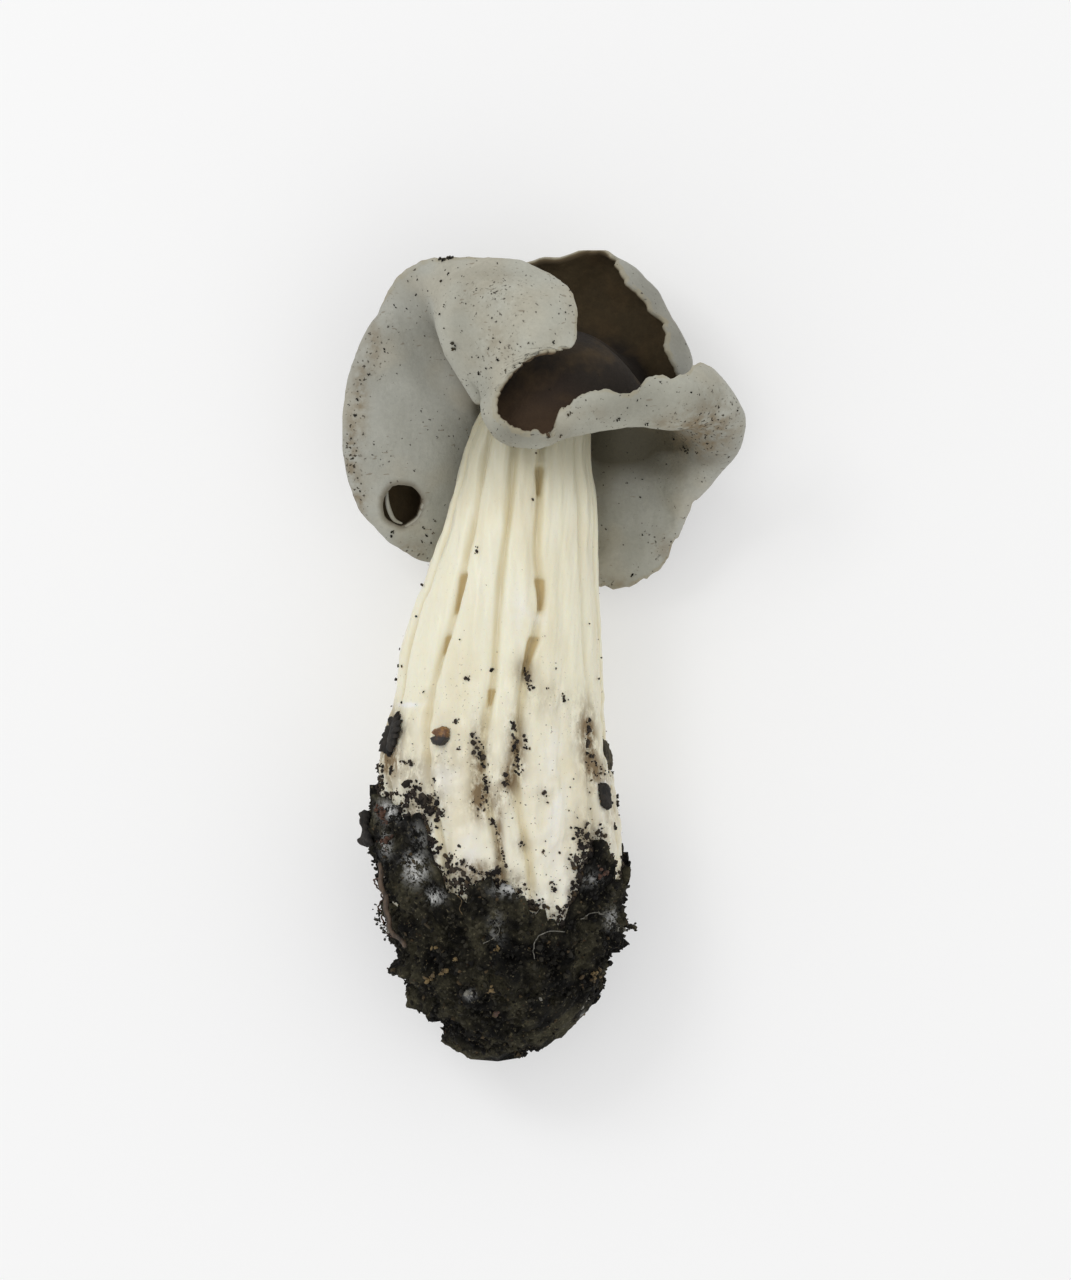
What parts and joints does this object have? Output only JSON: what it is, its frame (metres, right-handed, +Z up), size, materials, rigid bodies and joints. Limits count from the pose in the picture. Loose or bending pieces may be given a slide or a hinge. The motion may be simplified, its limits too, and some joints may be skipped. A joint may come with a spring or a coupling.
{
  "type": "saddle mushroom",
  "caption": "Picked saddle mushroom lying on a surface: folded grey-brown cap, ivory ribbed stem with narrow slits and a clod of black soil round its base.",
  "frame": {"origin": "middle of the footprint of the lying mushroom, on the surface", "axes": "+Z up from the surface, +Y from the soiled base to the cap, +X across"},
  "size_m": [0.0513, 0.1033, 0.034],
  "materials": {
    "cap_flesh": "matte",
    "stem_flesh": "satin",
    "soil": "matte",
    "bark": "matte",
    "husk": "matte",
    "root": "matte"
  },
  "bodies": {
    "root": {"cap": "cap_flesh", "stem": "stem_flesh", "soil": "soil", "bark_chip": "bark", "bark_flake": "bark", "leaf_scale": "bark", "peat_flake": "bark", "seed_husk": "husk", "rootlet": "root"}
  },
  "joints": []
}
